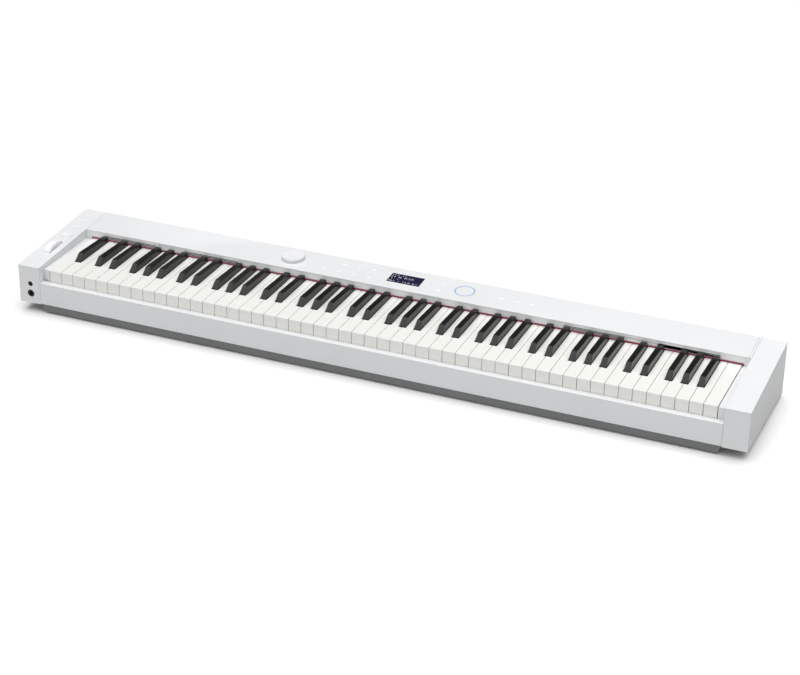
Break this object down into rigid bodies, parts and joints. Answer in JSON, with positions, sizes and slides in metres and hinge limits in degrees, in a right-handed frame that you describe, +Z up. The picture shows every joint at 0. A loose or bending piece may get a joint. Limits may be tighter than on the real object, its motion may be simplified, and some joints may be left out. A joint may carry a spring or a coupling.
{
  "type": "digital piano",
  "caption": "Slim portable digital piano: wedge-ended white casing, full hinged keyboard, top panel with knob, display and touch ring, pitch wheel and push buttons.",
  "frame": {"origin": "middle of the casing's footprint, on the surface the feet stand on", "axes": "+X along the keyboard to the player's right, +Y from the player to the rear, +Z up"},
  "size_m": [1.336, 0.242, 0.1078],
  "materials": {
    "casing_white": "satin white moulded plastic",
    "panel_gloss": "high-gloss white panel",
    "base_grey": "fine-textured dark grey plastic",
    "fallboard_grey": "satin light grey plastic",
    "speaker_cloth": "black acoustic cloth",
    "felt_crimson": "crimson felt",
    "frame_grey": "moulded chassis plastic",
    "steel": "drawn steel",
    "speaker_black": "black speaker basket",
    "board_green": "solder-resist green circuit board",
    "display_dark": "dark navy display window",
    "ring_blue": "light-blue light ring",
    "socket_black": "black socket plastic",
    "foot_rubber": "soft dark grey rubber",
    "control_white": "satin white control plastic",
    "key_white": "ivory-textured key plastic",
    "key_black": "ebony-textured matte key plastic"
  },
  "bodies": {
    "root": {"left_end_block": "casing_white", "right_end_block": "casing_white", "key_slip": "casing_white", "rear_panel": "casing_white", "left_key_cheek": "casing_white", "right_key_cheek": "casing_white", "top_panel": "panel_gloss", "bottom_case": "base_grey", "fallboard": "fallboard_grey", "speaker_cloth_left": "speaker_cloth", "speaker_cloth_right": "speaker_cloth", "key_felt_strip": "felt_crimson", "keybed_frame": "frame_grey", "key_pivot_rail": "steel", "wheel_axle": "steel", "speaker_left": "speaker_black", "speaker_right": "speaker_black", "main_board": "board_green", "display_window": "display_dark", "touch_ring": "ring_blue", "headphone_jack_small": "socket_black", "headphone_jack_large": "socket_black", "dc_inlet": "socket_black", "usb_port": "socket_black", "pedal_jack": "socket_black", "line_out_jack": "socket_black", "knob_encoder": "socket_black", "foot_front_left": "foot_rubber", "foot_front_right": "foot_rubber", "foot_rear_left": "foot_rubber", "foot_rear_right": "foot_rubber"},
    "volume_knob": {"volume_knob": "control_white"},
    "pitch_wheel": {"pitch_wheel": "control_white"},
    "power_button": {"power_button": "control_white"},
    "control_button_1": {"control_button_1": "control_white"},
    "control_button_2": {"control_button_2": "control_white"},
    "white_keys_bass": {"white_keys_bass": "key_white"},
    "black_keys_bass": {"black_keys_bass": "key_black"},
    "white_keys_treble": {"white_keys_treble": "key_white"},
    "black_keys_treble": {"black_keys_treble": "key_black"},
    "key_F3": {"key_F3": "key_white"},
    "key_F_sharp_3": {"key_F_sharp_3": "key_black"},
    "key_G3": {"key_G3": "key_white"},
    "key_G_sharp_3": {"key_G_sharp_3": "key_black"},
    "key_A3": {"key_A3": "key_white"},
    "key_A_sharp_3": {"key_A_sharp_3": "key_black"},
    "key_B3": {"key_B3": "key_white"},
    "key_C4": {"key_C4": "key_white"},
    "key_C_sharp_4": {"key_C_sharp_4": "key_black"},
    "key_D4": {"key_D4": "key_white"},
    "key_D_sharp_4": {"key_D_sharp_4": "key_black"},
    "key_E4": {"key_E4": "key_white"},
    "key_F4": {"key_F4": "key_white"},
    "key_F_sharp_4": {"key_F_sharp_4": "key_black"},
    "key_G4": {"key_G4": "key_white"},
    "key_G_sharp_4": {"key_G_sharp_4": "key_black"},
    "key_A4": {"key_A4": "key_white"},
    "key_A_sharp_4": {"key_A_sharp_4": "key_black"},
    "key_B4": {"key_B4": "key_white"},
    "key_C5": {"key_C5": "key_white"}
  },
  "joints": [
    {"name": "volume_knob_turn", "type": "hinge", "parent": "root", "child": "volume_knob", "pos_m": [-0.2215, 0.084, 0.09997], "axis": [0, -0.0549, 0.9985], "range_deg": [-140, 140]},
    {"name": "pitch_wheel_turn", "type": "hinge", "parent": "root", "child": "pitch_wheel", "pos_m": [-0.6445, -0.039, 0.07521], "axis": [1, 0, 0], "range_deg": [-35, 35], "stiffness_Nm_per_rad": 0.12},
    {"name": "power_button_press", "type": "slide", "parent": "root", "child": "power_button", "axis": [0, 0.0549, -0.9985], "range_m": [0, 0.0012], "stiffness_N_per_m": 1200, "springref_m": -0.0006},
    {"name": "control_button_1_press", "type": "slide", "parent": "root", "child": "control_button_1", "axis": [0, 0.0549, -0.9985], "range_m": [0, 0.0012], "stiffness_N_per_m": 1200, "springref_m": -0.0006},
    {"name": "control_button_2_press", "type": "slide", "parent": "root", "child": "control_button_2", "axis": [0, 0.0549, -0.9985], "range_m": [0, 0.0012], "stiffness_N_per_m": 1200, "springref_m": -0.0006},
    {"name": "white_keys_bass_press", "type": "hinge", "parent": "root", "child": "white_keys_bass", "pos_m": [-0.38775, 0.092, 0.066], "axis": [1, 0, 0], "range_deg": [0, 2.9], "stiffness_Nm_per_rad": 19, "springref_deg": -10.31},
    {"name": "black_keys_bass_press", "type": "hinge", "parent": "root", "child": "black_keys_bass", "pos_m": [-0.38088, 0.092, 0.066], "axis": [1, 0, 0], "range_deg": [0, 3.3], "stiffness_Nm_per_rad": 10.4, "springref_deg": -8.59},
    {"name": "white_keys_treble_press", "type": "hinge", "parent": "root", "child": "white_keys_treble", "pos_m": [0.36425, 0.092, 0.066], "axis": [1, 0, 0], "range_deg": [0, 2.9], "stiffness_Nm_per_rad": 21, "springref_deg": -10.31},
    {"name": "black_keys_treble_press", "type": "hinge", "parent": "root", "child": "black_keys_treble", "pos_m": [0.3434, 0.092, 0.066], "axis": [1, 0, 0], "range_deg": [0, 3.3], "stiffness_Nm_per_rad": 12, "springref_deg": -8.59},
    {"name": "key_F3_press", "type": "hinge", "parent": "root", "child": "key_F3", "pos_m": [-0.15275, 0.092, 0.066], "axis": [1, 0, 0], "range_deg": [0, 2.9], "stiffness_Nm_per_rad": 1, "springref_deg": -10.31},
    {"name": "key_F_sharp_3_press", "type": "hinge", "parent": "root", "child": "key_F_sharp_3", "pos_m": [-0.144, 0.092, 0.066], "axis": [1, 0, 0], "range_deg": [0, 3.3], "stiffness_Nm_per_rad": 0.8, "springref_deg": -8.59},
    {"name": "key_G3_press", "type": "hinge", "parent": "root", "child": "key_G3", "pos_m": [-0.12925, 0.092, 0.066], "axis": [1, 0, 0], "range_deg": [0, 2.9], "stiffness_Nm_per_rad": 1, "springref_deg": -10.31},
    {"name": "key_G_sharp_3_press", "type": "hinge", "parent": "root", "child": "key_G_sharp_3", "pos_m": [-0.117, 0.092, 0.066], "axis": [1, 0, 0], "range_deg": [0, 3.3], "stiffness_Nm_per_rad": 0.8, "springref_deg": -8.59},
    {"name": "key_A3_press", "type": "hinge", "parent": "root", "child": "key_A3", "pos_m": [-0.10575, 0.092, 0.066], "axis": [1, 0, 0], "range_deg": [0, 2.9], "stiffness_Nm_per_rad": 1, "springref_deg": -10.31},
    {"name": "key_A_sharp_3_press", "type": "hinge", "parent": "root", "child": "key_A_sharp_3", "pos_m": [-0.09, 0.092, 0.066], "axis": [1, 0, 0], "range_deg": [0, 3.3], "stiffness_Nm_per_rad": 0.8, "springref_deg": -8.59},
    {"name": "key_B3_press", "type": "hinge", "parent": "root", "child": "key_B3", "pos_m": [-0.08225, 0.092, 0.066], "axis": [1, 0, 0], "range_deg": [0, 2.9], "stiffness_Nm_per_rad": 1, "springref_deg": -10.31},
    {"name": "key_C4_press", "type": "hinge", "parent": "root", "child": "key_C4", "pos_m": [-0.05875, 0.092, 0.066], "axis": [1, 0, 0], "range_deg": [0, 2.9], "stiffness_Nm_per_rad": 1, "springref_deg": -10.31},
    {"name": "key_C_sharp_4_press", "type": "hinge", "parent": "root", "child": "key_C_sharp_4", "pos_m": [-0.0496, 0.092, 0.066], "axis": [1, 0, 0], "range_deg": [0, 3.3], "stiffness_Nm_per_rad": 0.8, "springref_deg": -8.59},
    {"name": "key_D4_press", "type": "hinge", "parent": "root", "child": "key_D4", "pos_m": [-0.03525, 0.092, 0.066], "axis": [1, 0, 0], "range_deg": [0, 2.9], "stiffness_Nm_per_rad": 1, "springref_deg": -10.31},
    {"name": "key_D_sharp_4_press", "type": "hinge", "parent": "root", "child": "key_D_sharp_4", "pos_m": [-0.0209, 0.092, 0.066], "axis": [1, 0, 0], "range_deg": [0, 3.3], "stiffness_Nm_per_rad": 0.8, "springref_deg": -8.59},
    {"name": "key_E4_press", "type": "hinge", "parent": "root", "child": "key_E4", "pos_m": [-0.01175, 0.092, 0.066], "axis": [1, 0, 0], "range_deg": [0, 2.9], "stiffness_Nm_per_rad": 1, "springref_deg": -10.31},
    {"name": "key_F4_press", "type": "hinge", "parent": "root", "child": "key_F4", "pos_m": [0.01175, 0.092, 0.066], "axis": [1, 0, 0], "range_deg": [0, 2.9], "stiffness_Nm_per_rad": 1, "springref_deg": -10.31},
    {"name": "key_F_sharp_4_press", "type": "hinge", "parent": "root", "child": "key_F_sharp_4", "pos_m": [0.0205, 0.092, 0.066], "axis": [1, 0, 0], "range_deg": [0, 3.3], "stiffness_Nm_per_rad": 0.8, "springref_deg": -8.59},
    {"name": "key_G4_press", "type": "hinge", "parent": "root", "child": "key_G4", "pos_m": [0.03525, 0.092, 0.066], "axis": [1, 0, 0], "range_deg": [0, 2.9], "stiffness_Nm_per_rad": 1, "springref_deg": -10.31},
    {"name": "key_G_sharp_4_press", "type": "hinge", "parent": "root", "child": "key_G_sharp_4", "pos_m": [0.0475, 0.092, 0.066], "axis": [1, 0, 0], "range_deg": [0, 3.3], "stiffness_Nm_per_rad": 0.8, "springref_deg": -8.59},
    {"name": "key_A4_press", "type": "hinge", "parent": "root", "child": "key_A4", "pos_m": [0.05875, 0.092, 0.066], "axis": [1, 0, 0], "range_deg": [0, 2.9], "stiffness_Nm_per_rad": 1, "springref_deg": -10.31},
    {"name": "key_A_sharp_4_press", "type": "hinge", "parent": "root", "child": "key_A_sharp_4", "pos_m": [0.0745, 0.092, 0.066], "axis": [1, 0, 0], "range_deg": [0, 3.3], "stiffness_Nm_per_rad": 0.8, "springref_deg": -8.59},
    {"name": "key_B4_press", "type": "hinge", "parent": "root", "child": "key_B4", "pos_m": [0.08225, 0.092, 0.066], "axis": [1, 0, 0], "range_deg": [0, 2.9], "stiffness_Nm_per_rad": 1, "springref_deg": -10.31},
    {"name": "key_C5_press", "type": "hinge", "parent": "root", "child": "key_C5", "pos_m": [0.10575, 0.092, 0.066], "axis": [1, 0, 0], "range_deg": [0, 2.9], "stiffness_Nm_per_rad": 1, "springref_deg": -10.31}
  ]
}
